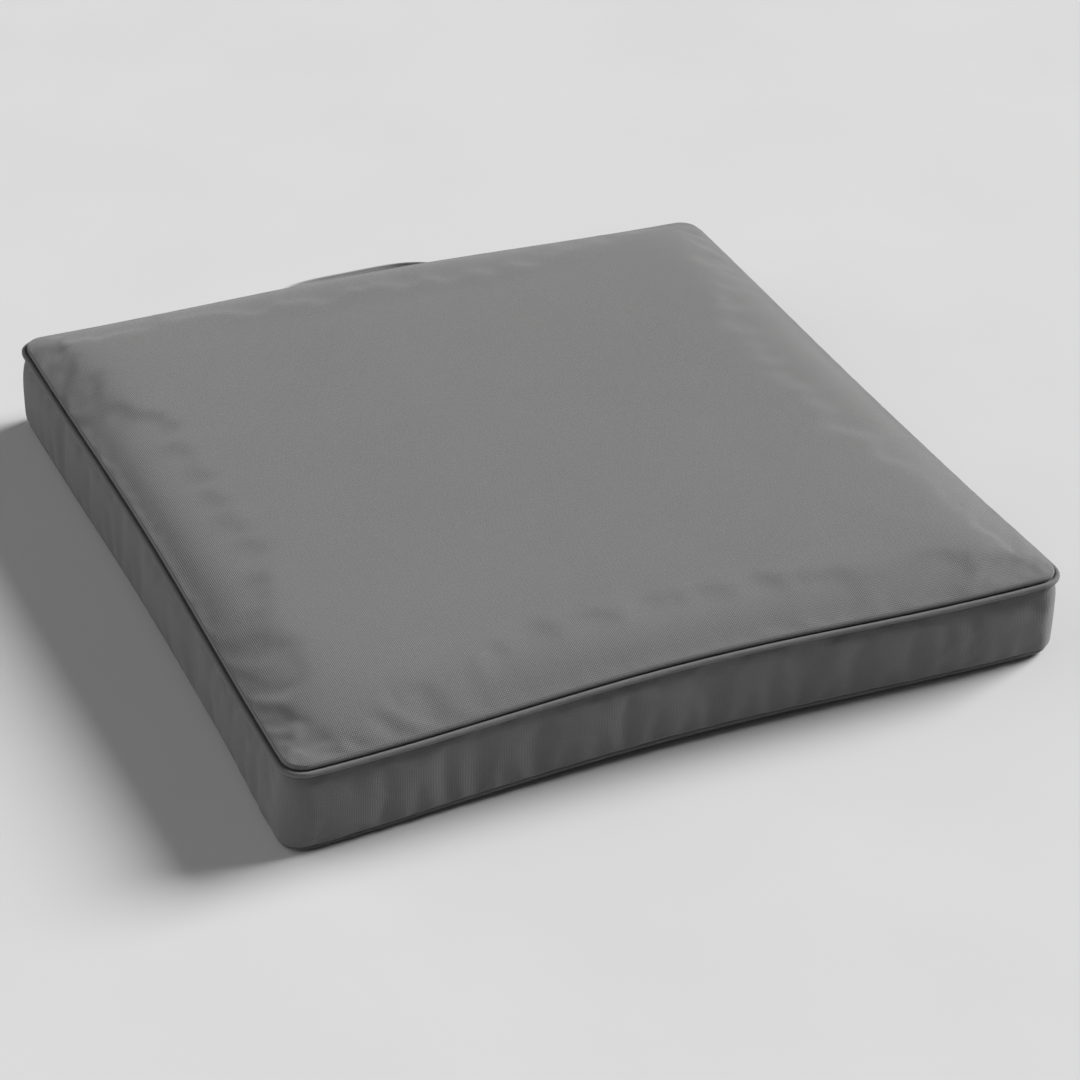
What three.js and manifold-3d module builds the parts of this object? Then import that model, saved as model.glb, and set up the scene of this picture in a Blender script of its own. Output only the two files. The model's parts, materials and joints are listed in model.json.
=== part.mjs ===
// A square box-edged kneeling pad with welted seams, a zipped side and a carry handle.
// Millimetres, +Z up. The origin is the centre of the underside. +X is right along the front edge,
// +Y is towards the rear, where the handle is. The zip is on the right side.
import * as THREE from 'three';
import { mergeVertices } from 'three/addons/utils/BufferGeometryUtils.js';
import Module from 'manifold-3d';

const wasm = await Module();
wasm.setup();

// ---- Driving sizes ----
const HALF = 222.4; // centre of the pad to the stitch line
const CORNER = 12; // corner radius at the stitch line
const SEAM_LOW = 3.6; // height of the bottom welt's centre, at the corners
const SEAM_HIGH = 49.2; // height of the top welt's centre, at the corners
const CROWN = 65; // height of the flat middle of the top
const GAP = 0.3; // left between pieces that touch

const FABRIC = 0.8; // thickness of the cover fabric
const ALLOWANCE = 8.5; // width of fabric turned in at a seam
const NEAR_SEAM = 9; // within this of a seam, everything moves with the seam
const CROWN_INSET = 62; // from the stitch line to the flat middle of the top
const CORNER_GROWTH = 0.9; // how fast the corners get rounder towards the flat middle

const WELT_OUT = 0.8; // centre of the welt, outside the stitch line
const WELT_RADIUS = 1.6;
const WELT_WALL = 0.5;
const WELT_TAIL = 8;
const WELT_SLIT = 0.15; // half the slit between the welt's two tails
const CORD_RADIUS = 0.75;

// Between its corners each side's seams pull in and rise towards the middle of the pad.
const SIDES = [
  { name: 'right', normal: [1, 0], along: [0, 1], pullIn: 6, riseLow: 2, riseHigh: 2, zip: true },
  { name: 'rear', normal: [0, 1], along: [-1, 0], pullIn: 2.6, riseLow: 2, riseHigh: 4.4, zip: false },
  { name: 'left', normal: [-1, 0], along: [0, -1], pullIn: 1.4, riseLow: 2, riseHigh: 3.4, zip: false },
  { name: 'front', normal: [0, -1], along: [1, 0], pullIn: 4.8, riseLow: 2.3, riseHigh: 4, zip: false },
];
const SIDE_STEPS = 8;
const CORNER_STEPS = 4;

// The zip, on the right side. Its heights are measured from its centre line.
const ZIP_Z = (SEAM_LOW + SEAM_HIGH) / 2;
const ZIP_FREE = 0.125; // share of the height, each side of the middle, that stays straight for the zip
const ZIP_HALF_GAP = 5.2; // from the centre line to each band's folded edge
const BAND_END = 185; // half the length of the zipped opening
const TAPE_WIDTH = 13;
const TAPE_THICK = 0.5;
const TAPE_FACE = -0.4; // the tapes' outer face, from the stitch line
const TAPE_START = 0.9; // from the centre line to each tape's inner edge
const COIL_END = 178;
const COIL_START = 0.6; // from the centre line to each coil
const COIL_WIDTH = 2.5;
const COIL_THICK = 2;
const SLIDER_Y = 172;
const SLIDER_LENGTH = 11;
const SLIDER_HALF_WIDTH = 4.25;
const SLIDER_PLATE = 1;
const PULL_LENGTH = 26;

// The handle, on the rear side: 25 mm webbing.
const WEBBING_WIDTH = 25;
const WEBBING_THICK = 2;
const HANDLE_TOP = 43;
const HANDLE_FACE = 223.7; // the webbing's inner face where it is sewn on
const HANDLE_HALF = 70; // half the distance between the sewn ends
const HANDLE_BOW = 30; // how far the middle stands out
const HANDLE_SQUARE = 5; // higher makes the arch flatter, with steeper ends
const HANDLE_EASE = 2; // above 1, the arch leaves its sewn ends level with the boxing
const TAB_LENGTH = 30;

// ---- Materials ----
const material = (color, roughness, metalness = 0) =>
  new THREE.MeshStandardMaterial({ color, roughness, metalness });
const coverFabric = material('#6d6d6d', 0.9);
const weltFabric = material('#4a4a4a', 0.9);
const webbing = material('#8a8a8a', 0.8);
const zipTape = material('#333333', 0.9);
const zipNylon = material('#2b2b2b', 0.5);
const zipMetal = material('#5c5c5c', 0.35, 1);
const foam = material('#d8d2bf', 0.95);
const fibre = material('#efefec', 1);
const cord = material('#e6e2d6', 0.9);
const labelCloth = material('#ececec', 0.7);

const pad = new THREE.Group();

const clamp = (value, low, high) => Math.min(high, Math.max(low, value));
const mix = (a, b, t) => a + (b - a) * t;
const smooth = (t) => t * t * (3 - 2 * t);

// ---- The pad's outline ----
// A station is a place around the outline: on a side it has s, from -1 to 1, and at a corner a turn.
function sideStation(side, s) {
  return { side, s, normal: SIDES[side].normal, bow: Math.cos((Math.PI * s) / 2) ** 2 };
}

function cornerStation(side, turn) {
  const [nx, ny] = SIDES[side].normal;
  const angle = (turn * Math.PI) / 2;
  const normal = [
    nx * Math.cos(angle) - ny * Math.sin(angle),
    nx * Math.sin(angle) + ny * Math.cos(angle),
  ];
  return { side, corner: true, normal, bow: 0 };
}

function sideStations(side, from, to, steps) {
  const found = [];
  for (let i = 0; i <= steps; i += 1) {
    found.push(sideStation(side, mix(from, to, i / steps)));
  }
  return found;
}

function cornerStations(side) {
  const found = [];
  for (let i = 1; i < CORNER_STEPS; i += 1) {
    found.push(cornerStation(side, i / CORNER_STEPS));
  }
  return found;
}

function wholeOutline() {
  return SIDES.flatMap((_, side) => [...sideStations(side, -1, 1, SIDE_STEPS), ...cornerStations(side)]);
}

// The corner's radius at u, where u is the distance outside the stitch line.
function cornerRadius(u) {
  const inset = Math.max(0, -u - NEAR_SEAM);
  return CORNER + Math.max(u, -NEAR_SEAM) + inset * CORNER_GROWTH;
}

// The point at u and height z at a station, with the seams' pull and rise.
function place(station, u, z) {
  const side = SIDES[station.side];
  const softness = 1 - smooth(clamp((-u - NEAR_SEAM) / (CROWN_INSET - NEAR_SEAM), 0, 1));
  const t = clamp((z - SEAM_LOW) / (SEAM_HIGH - SEAM_LOW), 0, 1);
  const fromMiddle = Math.abs(t - 0.5);
  const held = side.zip ? clamp((fromMiddle - ZIP_FREE) / (0.5 - ZIP_FREE), 0, 1) : 1;
  const amount = station.bow * softness * held;
  const radius = cornerRadius(u);
  const straight = HALF + u - radius;
  const [nx, ny] = station.normal;
  const height = z + mix(side.riseLow, side.riseHigh, t) * amount;
  if (station.corner) {
    const [sx, sy] = SIDES[station.side].normal;
    const [ax, ay] = SIDES[station.side].along;
    return [(sx + ax) * straight + nx * radius, (sy + ay) * straight + ny * radius, height];
  }
  const out = HALF + u - side.pullIn * amount;
  const [ax, ay] = side.along;
  return [nx * out + ax * station.s * straight, ny * out + ay * station.s * straight, height];
}

// ---- Closed solids ----
function geometryOf(points, triangles) {
  const geometry = new THREE.BufferGeometry();
  geometry.setAttribute('position', new THREE.Float32BufferAttribute(points.flat(), 3));
  geometry.setIndex(triangles.flat());
  if (volumeOf(points, triangles) < 0) {
    geometry.setIndex(triangles.map(([a, b, c]) => [a, c, b]).flat());
  }
  return geometry;
}

function volumeOf(points, triangles) {
  const corner = triangles.map((t) => t.map((i) => new THREE.Vector3(...points[i])));
  return corner.reduce((sum, [a, b, c]) => sum + a.dot(b.clone().cross(c)) / 6, 0);
}

// The triangles between two rows of points, each of n points that close on themselves or not.
function joinRows(first, second, n, closed) {
  const found = [];
  for (let i = 0; i < (closed ? n : n - 1); i += 1) {
    const j = (i + 1) % n;
    found.push([first + i, first + j, second + j], [first + i, second + j, second + i]);
  }
  return found;
}

// A section of [u, z] points swept around the whole outline.
function ring(section) {
  const rows = wholeOutline().map((station) => section.map(([u, z]) => place(station, u, z)));
  const n = section.length;
  const triangles = rows.flatMap((_, i) => joinRows(i * n, ((i + 1) % rows.length) * n, n, true));
  return geometryOf(rows.flat(), triangles);
}

// Rows of points of one closed section each, with both ends capped.
function capped(rows, section) {
  const n = section.length;
  const contour = section.map(([a, b]) => new THREE.Vector2(a, b));
  if (THREE.ShapeUtils.area(contour) < 0) {
    return capped(rows.map((row) => row.toReversed()), section.toReversed());
  }
  const cap = THREE.ShapeUtils.triangulateShape(contour, []);
  const last = (rows.length - 1) * n;
  const sides = rows.slice(1).flatMap((_, i) => joinRows(i * n, (i + 1) * n, n, true));
  const end = cap.map((triangle) => triangle.map((i) => i + last));
  const start = cap.map(([a, b, c]) => [a, c, b]);
  return geometryOf(rows.flat(), [...sides, ...start, ...end]);
}

// A section of [u, z] points swept along part of the outline.
function strip(section, stations) {
  return capped(stations.map((station) => section.map(([u, z]) => place(station, u, z))), section);
}

// A solid over the whole pad, from a profile that starts and ends over the centre.
function slab(profile) {
  const stations = wholeOutline();
  const n = stations.length;
  const rows = profile.map(([u, z]) => stations.map((station) => place(station, u, z)));
  const points = [...rows.flat(), [0, 0, profile[0][1]], [0, 0, profile.at(-1)[1]]];
  const triangles = rows.slice(1).flatMap((_, i) => joinRows(i * n, (i + 1) * n, n, true));
  const top = rows.length * n;
  const last = (rows.length - 1) * n;
  for (let i = 0; i < n; i += 1) {
    const j = (i + 1) % n;
    triangles.push([top, j, i], [top + 1, last + i, last + j]);
  }
  return geometryOf(points, triangles);
}

function block(x, y, z, low) {
  const geometry = new THREE.BoxGeometry(x, y, z);
  geometry.translate(low[0] + x / 2, low[1] + y / 2, low[2] + z / 2);
  return geometry;
}

function toSolid(geometry) {
  const bare = geometry.index ? geometry.clone() : geometry;
  bare.deleteAttribute('normal');
  bare.deleteAttribute('uv');
  const merged = mergeVertices(bare);
  return new wasm.Manifold(
    new wasm.Mesh({
      numProp: 3,
      vertProperties: Float32Array.from(merged.attributes.position.array),
      triVerts: Uint32Array.from(merged.index.array),
    }),
  );
}

function united(geometries) {
  const whole = geometries.map(toSolid).reduce((a, b) => a.add(b));
  const mesh = whole.getMesh();
  const geometry = new THREE.BufferGeometry();
  geometry.setAttribute('position', new THREE.Float32BufferAttribute(mesh.vertProperties, 3));
  geometry.setIndex([...mesh.triVerts]);
  return geometry;
}

function add(name, geometry, look) {
  const mesh = new THREE.Mesh(geometry, look);
  mesh.name = name;
  pad.add(mesh);
  return mesh;
}

// ---- Cover: panels ----
// Each panel runs from the flat middle to the stitch line, folds there and turns in as the allowance.
const TOP_FOLD = SEAM_HIGH + WELT_SLIT + WELT_WALL + GAP;
const CROWN_FALL = [
  [-CROWN_INSET, 0],
  [-40, 1.9],
  [-20, 5.3],
];
// The crown's shape at a depth below the cover's outer face.
const crownAt = (depth) => CROWN_FALL.map(([u, fall]) => [u, CROWN - fall - depth]);

function addTopPanel() {
  add(
    'top_panel',
    slab([
      ...crownAt(0),
      [-7, CROWN - 10],
      [-0.9, TOP_FOLD + 1.8],
      [-0.4, TOP_FOLD + 0.9],
      [-0.9, TOP_FOLD],
      [-ALLOWANCE, TOP_FOLD],
      [-ALLOWANCE, TOP_FOLD + FABRIC],
      [-3, TOP_FOLD + FABRIC],
      [-7.4, CROWN - 10 - FABRIC],
      ...crownAt(FABRIC).toReversed(),
    ]),
    coverFabric,
  );
}

const LOW_FOLD = SEAM_LOW - WELT_SLIT - WELT_WALL - GAP;

function addBottomPanel() {
  add(
    'bottom_panel',
    slab([
      [-CROWN_INSET, 0],
      [-14, 0],
      [-5, 0.3],
      [-0.9, LOW_FOLD - 1.4],
      [-0.4, LOW_FOLD - 0.7],
      [-0.9, LOW_FOLD],
      [-ALLOWANCE, LOW_FOLD],
      [-ALLOWANCE, LOW_FOLD - FABRIC],
      [-4, LOW_FOLD - FABRIC],
      [-6, 1.15],
      [-14, FABRIC],
      [-CROWN_INSET, FABRIC],
    ]),
    coverFabric,
  );
}

// ---- Cover: boxing ----
const BOX_TOP = SEAM_HIGH - WELT_SLIT - WELT_WALL - GAP;
const BOX_LOW = SEAM_LOW + WELT_SLIT + WELT_WALL + GAP;

function addBoxing() {
  const outer = [
    [-0.4, BOX_TOP - 0.8],
    [1.2, BOX_TOP - 4],
    [2.3, BOX_TOP - 10],
    [2.6, ZIP_Z],
    [2.3, BOX_LOW + 9],
    [1.2, BOX_LOW + 3.6],
    [-0.4, BOX_LOW + 0.8],
  ];
  const section = [
    [-ALLOWANCE, BOX_TOP],
    [-0.9, BOX_TOP],
    ...outer,
    [-0.9, BOX_LOW],
    [-ALLOWANCE, BOX_LOW],
    [-ALLOWANCE, BOX_LOW + FABRIC],
    [-1.7, BOX_LOW + FABRIC],
    ...outer.slice(1, -1).toReversed().map(([u, z]) => [u - FABRIC, z]),
    [-1.7, BOX_TOP - FABRIC],
    [-ALLOWANCE, BOX_TOP - FABRIC],
  ];
  const end = (BAND_END + GAP) / (HALF - CORNER);
  const stations = [
    ...sideStations(0, end, 1, 1),
    ...cornerStations(0),
    ...[1, 2, 3].flatMap((side) => [...sideStations(side, -1, 1, SIDE_STEPS), ...cornerStations(side)]),
    ...sideStations(0, -1, -end, 1),
  ];
  add('boxing_strip', strip(section, stations), coverFabric);
}

// The bands above and below the zip, with the edge at the zip folded back behind the band.
function addZipBands() {
  const reach = BAND_END / (HALF - CORNER);
  const stations = sideStations(0, -reach, reach, SIDE_STEPS);
  const bandFace = 2.1;
  const foldFace = bandFace - FABRIC - GAP;
  const foldLength = 9;
  const section = (seam, way) => {
    const edge = ZIP_Z - way * ZIP_HALF_GAP;
    return [
      [-ALLOWANCE, seam],
      [-0.9, seam],
      [-0.4, seam + way * 0.8],
      [1.2, seam + way * 4],
      [1.9, seam + way * 8],
      [bandFace, edge - way * 0.6],
      [bandFace - 0.5, edge],
      [foldFace - FABRIC + 0.5, edge],
      [foldFace - FABRIC, edge - way * 0.6],
      [foldFace - FABRIC, edge - way * foldLength],
      [foldFace, edge - way * foldLength],
      [foldFace, edge - way * FABRIC],
      [bandFace - FABRIC, edge - way * FABRIC],
      [1.1, seam + way * 8],
      [0.4, seam + way * 4],
      [-1.7, seam + way * FABRIC],
      [-ALLOWANCE, seam + way * FABRIC],
    ];
  };
  add('zip_band_upper', strip(section(BOX_TOP, -1), stations), coverFabric);
  add('zip_band_lower', strip(section(BOX_LOW, 1), stations), coverFabric);
}

// ---- Welts ----
// The cover wraps the cord and its two tails lie together in the seam, with a slit between them.
function weltSection(height) {
  const innerRadius = WELT_RADIUS - WELT_WALL;
  const arc = (radius, offset, from, steps) => {
    const start = Math.PI - Math.asin(offset / radius);
    return Array.from({ length: steps + 1 }, (_, i) => {
      const angle = mix(from * start, -from * start, i / steps);
      return [WELT_OUT + radius * Math.cos(angle), height + radius * Math.sin(angle)];
    });
  };
  const tail = WELT_SLIT + WELT_WALL;
  return [
    [-WELT_TAIL, height + tail],
    ...arc(WELT_RADIUS, tail, 1, 6),
    [-WELT_TAIL, height - tail],
    [-WELT_TAIL, height - WELT_SLIT],
    ...arc(innerRadius, WELT_SLIT, -1, 5),
    [-WELT_TAIL, height + WELT_SLIT],
  ];
}

function addWelts() {
  const heights = { top: SEAM_HIGH, bottom: SEAM_LOW };
  for (const [name, height] of Object.entries(heights)) {
    add(`${name}_welt_cover`, ring(weltSection(height)), weltFabric);
    const round = Array.from({ length: 6 }, (_, i) => {
      const angle = (i * Math.PI) / 3;
      return [WELT_OUT + CORD_RADIUS * Math.cos(angle), height + CORD_RADIUS * Math.sin(angle)];
    });
    add(`${name}_welt_cord`, ring(round), cord);
  }
}

// ---- Filling ----
const FOAM_DEPTH = 5.6; // from the cover's outer face to the foam
const FOAM_LOW = 3.9;

function addFilling() {
  add(
    'foam_core',
    slab([
      ...crownAt(FOAM_DEPTH),
      [-11, CROWN - 15],
      [-6.5, 44.5],
      [-4, 38],
      [-3.5, ZIP_Z],
      [-4, 14],
      [-7, 8],
      [-11, 5.2],
      [-20, FOAM_LOW],
      [-CROWN_INSET, FOAM_LOW],
    ]),
    foam,
  );
  add(
    'fibre_wrap_top',
    slab([
      ...crownAt(FABRIC + GAP),
      [-11, CROWN - 9.9],
      [-10, CROWN - 11.5],
      [-11, CROWN - 13],
      ...crownAt(FOAM_DEPTH - GAP).toReversed(),
    ]),
    fibre,
  );
  add(
    'fibre_wrap_bottom',
    slab([
      [-CROWN_INSET, FOAM_LOW - GAP],
      [-20, FOAM_LOW - GAP],
      [-10.5, FOAM_LOW - GAP],
      [-10.5, FABRIC + 2 * GAP],
      [-14, FABRIC + GAP],
      [-CROWN_INSET, FABRIC + GAP],
    ]),
    fibre,
  );
}

// ---- Zip ----
// On the right side x is HALF plus u, and the zip's pieces stay straight along y.
function addZipTapesAndCoils() {
  const reach = BAND_END / (HALF - CORNER);
  const stations = sideStations(0, -reach, reach, SIDE_STEPS);
  for (const [name, way] of [['upper', 1], ['lower', -1]]) {
    const tape = [
      [TAPE_FACE, ZIP_Z + way * TAPE_START],
      [TAPE_FACE, ZIP_Z + way * ZIP_HALF_GAP],
      [TAPE_FACE, ZIP_Z + way * TAPE_WIDTH],
      [TAPE_FACE - TAPE_THICK, ZIP_Z + way * TAPE_WIDTH],
      [TAPE_FACE - TAPE_THICK, ZIP_Z + way * ZIP_HALF_GAP],
      [TAPE_FACE - TAPE_THICK, ZIP_Z + way * TAPE_START],
    ];
    add(`zip_tape_${name}`, strip(tape, stations), zipTape);
    const low = ZIP_Z + (way > 0 ? COIL_START : -COIL_START - COIL_WIDTH);
    const face = HALF + TAPE_FACE + GAP;
    const coil = block(COIL_THICK, 2 * COIL_END, COIL_WIDTH, [face, -COIL_END, low]);
    add(`zip_coil_${name}`, coil, zipNylon);
    const stop = block(COIL_THICK, 2.2, COIL_WIDTH, [face, COIL_END + GAP, low]);
    add(`zip_top_stop_${name}`, stop, zipMetal);
  }
  const width = 2 * (COIL_START + COIL_WIDTH);
  const face = HALF + TAPE_FACE + GAP;
  const low = [face, -COIL_END - GAP - 3, ZIP_Z - width / 2];
  add('zip_bottom_stop', block(COIL_THICK, 3, width, low), zipMetal);
}

const PULL_AXIS = [HALF + 4.3, SLIDER_Y, ZIP_Z];

function addSlider() {
  const coilFace = HALF + TAPE_FACE + GAP + COIL_THICK;
  const front = coilFace + 0.4;
  const back = HALF + TAPE_FACE - TAPE_THICK - 0.4 - SLIDER_PLATE;
  const start = SLIDER_Y - SLIDER_LENGTH / 2;
  const wide = 2 * SLIDER_HALF_WIDTH;
  const flange = SLIDER_HALF_WIDTH - COIL_START - COIL_WIDTH - 0.35;
  const flangeLow = HALF + TAPE_FACE + 0.4;
  const lowest = ZIP_Z - SLIDER_HALF_WIDTH;
  const bridge = 1.6;
  const bridgeTop = front + SLIDER_PLATE + 2;
  const post = [front - back, 3, 0.7];
  add(
    'zip_slider',
    united([
      block(SLIDER_PLATE, SLIDER_LENGTH, wide, [front, start, lowest]),
      block(front - flangeLow + 0.2, SLIDER_LENGTH - 2, flange, [flangeLow, start, lowest]),
      block(front - flangeLow + 0.2, SLIDER_LENGTH - 2, flange, [
        flangeLow, start, ZIP_Z + SLIDER_HALF_WIDTH - flange,
      ]),
      block(SLIDER_PLATE, SLIDER_LENGTH, wide - 1.6, [back, start, lowest + 0.8]),
      block(...post, [back + 0.2, start + SLIDER_LENGTH - 3.5, ZIP_Z - 0.35]),
      block(2.4, 1.2, bridge, [front + 0.6, SLIDER_Y - 3.6, ZIP_Z - bridge / 2]),
      block(2.4, 1.2, bridge, [front + 0.6, SLIDER_Y + 2.4, ZIP_Z - bridge / 2]),
      block(1, 7.2, bridge, [bridgeTop, SLIDER_Y - 3.6, ZIP_Z - bridge / 2]),
    ]),
    zipMetal,
  );
}

// The pull's crossbar lies under the slider's bridge, and its tab lies along the zip.
function addPull() {
  const halfWidth = 2.9;
  const thick = 1;
  const tab = new THREE.Shape();
  tab.moveTo(0.6, -halfWidth);
  tab.lineTo(0.6, halfWidth);
  tab.lineTo(-PULL_LENGTH + halfWidth, halfWidth);
  tab.absarc(-PULL_LENGTH + halfWidth, 0, halfWidth, Math.PI / 2, (3 * Math.PI) / 2, false);
  const eye = new THREE.Path();
  eye.moveTo(-0.6, -1.4);
  eye.lineTo(-5.6, -1.4);
  eye.lineTo(-5.6, 1.4);
  eye.lineTo(-0.6, 1.4);
  const hole = new THREE.Path();
  hole.absarc(-PULL_LENGTH + halfWidth + 0.6, 0, 1.2, 0, 2 * Math.PI, false);
  tab.holes.push(eye, hole);
  const geometry = new THREE.ExtrudeGeometry(tab, { depth: thick, bevelEnabled: false, curveSegments: 8 });
  geometry.translate(0, 0, -thick / 2);
  const mesh = add('zip_pull', geometry, zipMetal);
  // The shape's x becomes y, its y becomes z and its depth becomes x.
  mesh.setRotationFromMatrix(
    new THREE.Matrix4().makeBasis(
      new THREE.Vector3(0, 1, 0), new THREE.Vector3(0, 0, 1), new THREE.Vector3(1, 0, 0),
    ),
  );
  mesh.position.set(...PULL_AXIS);
}

// ---- Handle ----
// How far the arch stands out, and its slope, at s from -1 to 1 between the sewn ends.
function archAt(s) {
  const share = 1 - Math.abs(s) ** HANDLE_SQUARE;
  const turn = HANDLE_SQUARE * Math.abs(s) ** (HANDLE_SQUARE - 1) * Math.sign(s);
  const slope = (-HANDLE_BOW * HANDLE_EASE * share ** (HANDLE_EASE - 1) * turn) / HANDLE_HALF;
  return { out: HANDLE_BOW * share ** HANDLE_EASE, slope };
}

function addHandle() {
  const low = HANDLE_TOP - WEBBING_WIDTH;
  const steps = 28;
  const section = [
    [0, low],
    [WEBBING_THICK, low],
    [WEBBING_THICK, HANDLE_TOP],
    [0, HANDLE_TOP],
  ];
  const rows = Array.from({ length: steps + 1 }, (_, i) => {
    const s = Math.sin((Math.PI / 2) * mix(-1, 1, i / steps));
    const arch = archAt(s);
    const length = Math.hypot(1, arch.slope);
    return section.map(([out, z]) => [
      s * HANDLE_HALF - (out * arch.slope) / length,
      HANDLE_FACE + arch.out + out / length,
      z,
    ]);
  });
  add('handle_strap', capped(rows, section), webbing);
  for (const [name, way] of [['left', -1], ['right', 1]]) {
    const start = way > 0 ? HANDLE_HALF + GAP : -HANDLE_HALF - GAP - TAB_LENGTH;
    const tab = block(TAB_LENGTH, WEBBING_THICK, WEBBING_WIDTH, [start, HANDLE_FACE, low]);
    add(`handle_end_${name}`, tab, webbing);
    addBacking(name, -way);
  }
}

// A patch of fabric inside the boxing, behind each sewn end of the handle.
function addBacking(name, way) {
  const middle = (way * (HANDLE_HALF + TAB_LENGTH / 2)) / (HALF - CORNER);
  const reach = 20 / (HALF - CORNER);
  const face = 0.8;
  const [low, high] = [16, 37];
  const section = [
    [face, low],
    [face, high],
    [face - FABRIC, high],
    [face - FABRIC, low],
  ];
  const stations = sideStations(1, middle - reach, middle + reach, 2);
  add(`handle_backing_${name}`, strip(section, stations), coverFabric);
}

// A blank label inside the cover, sewn into the seam above the zip.
function addLabel() {
  const section = [
    [-1.2, 31],
    [-1.2, 44],
    [-1.5, 44],
    [-1.5, 31],
  ];
  const length = HALF - CORNER;
  add('care_label', strip(section, sideStations(0, -140 / length, -110 / length, 1)), labelCloth);
}

addTopPanel();
addBottomPanel();
addBoxing();
addZipBands();
addWelts();
addFilling();
addZipTapesAndCoils();
addSlider();
addPull();
addHandle();
addLabel();

export default pad;
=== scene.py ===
"""Looks of the square kneeling pad: a welted, zipped cloth cover over foam, with a webbing handle.

Everything is in metres in the frame's own axes: +Z up, +X right towards the zip, +Y towards the handle.
"""

import json
import math

import bmesh
import bpy
import numpy as np
from mathutils import Matrix, Vector


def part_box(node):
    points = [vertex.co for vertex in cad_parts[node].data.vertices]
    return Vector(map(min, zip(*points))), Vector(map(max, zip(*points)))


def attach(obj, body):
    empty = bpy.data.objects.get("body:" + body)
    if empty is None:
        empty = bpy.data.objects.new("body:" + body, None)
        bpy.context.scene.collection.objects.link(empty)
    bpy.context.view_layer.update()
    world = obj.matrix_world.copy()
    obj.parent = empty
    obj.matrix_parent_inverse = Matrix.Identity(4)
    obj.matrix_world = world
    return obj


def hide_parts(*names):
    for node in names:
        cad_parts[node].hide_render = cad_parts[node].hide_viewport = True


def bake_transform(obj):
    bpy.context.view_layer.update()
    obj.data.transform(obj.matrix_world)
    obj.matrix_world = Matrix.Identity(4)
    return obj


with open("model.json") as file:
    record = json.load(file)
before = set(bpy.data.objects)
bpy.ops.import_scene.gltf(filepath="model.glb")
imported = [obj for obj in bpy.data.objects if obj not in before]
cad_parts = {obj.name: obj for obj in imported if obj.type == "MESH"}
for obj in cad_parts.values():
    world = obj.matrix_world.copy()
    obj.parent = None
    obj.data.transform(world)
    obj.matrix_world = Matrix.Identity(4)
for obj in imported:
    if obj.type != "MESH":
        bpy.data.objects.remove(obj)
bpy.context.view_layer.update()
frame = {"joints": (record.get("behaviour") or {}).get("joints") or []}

# ---- Sizes, from the frame where it holds them ----
MM = 0.001
CORD_RADIUS = 0.75 * MM
CORD_DROP = CORD_RADIUS * math.sin(math.pi / 3)  # the frame's cords are six-sided, with a corner facing out
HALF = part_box("top_panel")[1].x + 0.4 * MM  # centre to the stitch line
CORNER = 12 * MM
SEAM_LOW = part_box("bottom_welt_cord")[0].z + CORD_DROP
SEAM_SINKS = 2.2 * MM  # the puffed panel presses the top seam down, below the frame's stiff one
SEAM_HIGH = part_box("top_welt_cord")[0].z + CORD_DROP - SEAM_SINKS
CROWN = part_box("top_panel")[1].z
STRAIGHT = HALF - CORNER
QUARTER = 2 * STRAIGHT + CORNER * math.pi / 2  # one side and one corner, along the stitch line
FABRIC = 0.8 * MM
WELT_RADIUS = 1.45 * MM
TOP_WELT = (1.3 * MM, SEAM_HIGH - 0.3 * MM)  # the welts' centres: out from the stitch line, and height
BOTTOM_WELT = (-0.1 * MM, SEAM_LOW - 0.1 * MM)
WELT_TAIL = -7 * MM  # the end of a welt's hidden tail, from the stitch line
NEAR_SEAM = 9 * MM  # the pull of a side's seams is full up to here, and has faded out at FLAT_INSET
FLAT_INSET = 62 * MM

ZIP_FREE = 0.125  # share of the height, each side of the middle, that stays straight for the zip
BAND_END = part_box("zip_band_upper")[1].y
COIL_LOW, COIL_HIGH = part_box("zip_coil_upper")
ZIP_Z = (COIL_LOW.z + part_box("zip_coil_lower")[1].z) / 2
SLIDER_LOW, SLIDER_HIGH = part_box("zip_slider")
PULL_AXIS = next(Vector(joint["pos_m"]) for joint in frame["joints"] if joint["name"] == "pull_swing")

TAB_LOW, TAB_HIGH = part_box("handle_end_right")
HANDLE_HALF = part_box("handle_strap")[1].x
HANDLE_FACE = TAB_LOW.y
HANDLE_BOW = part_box("handle_strap")[1].y - HANDLE_FACE - (TAB_HIGH.y - TAB_LOW.y)
HANDLE_SQUARE, HANDLE_EASE = 5, 2
WEBBING = 1.5 * MM

# Each side's seams pull in and rise between the corners: (axis, sign, pull, rise low, rise high, has zip).
SIDES = [
    (0, 1, 3.3 * MM, 2.0 * MM, 2.0 * MM, True),
    (1, 1, 2.6 * MM, 2.0 * MM, 5.4 * MM, False),
    (0, -1, 1.4 * MM, 2.0 * MM, 3.4 * MM, False),
    (1, -1, 4.8 * MM, 2.3 * MM, 4.0 * MM, False),
]
# The top seam sits a little higher at the rear left corner and lower at the rear right one.
REAR_LEFT_RISE, REAR_RIGHT_RISE = 5.2 * MM, -2.9 * MM
# The foot of the front left corner splays out and rests on the ground, and the top of the front right one
# stands out: (x sign, y sign, is the top, out, up).
CORNERS = [
    (-1, -1, False, 1.8 * MM, -2.0 * MM),
    (1, -1, True, 0.6 * MM, 1.4 * MM),
]
CORNER_REACH = 110 * MM
WAVE_SINES = 7


def smooth(t):
    t = np.clip(t, 0, 1)
    return t * t * (3 - 2 * t)


def mix(a, b, t):
    return a + (b - a) * t


def coords(*axes):
    """Points from their coordinates, each an array or a number."""
    return np.stack(np.broadcast_arrays(*axes), -1)


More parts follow.
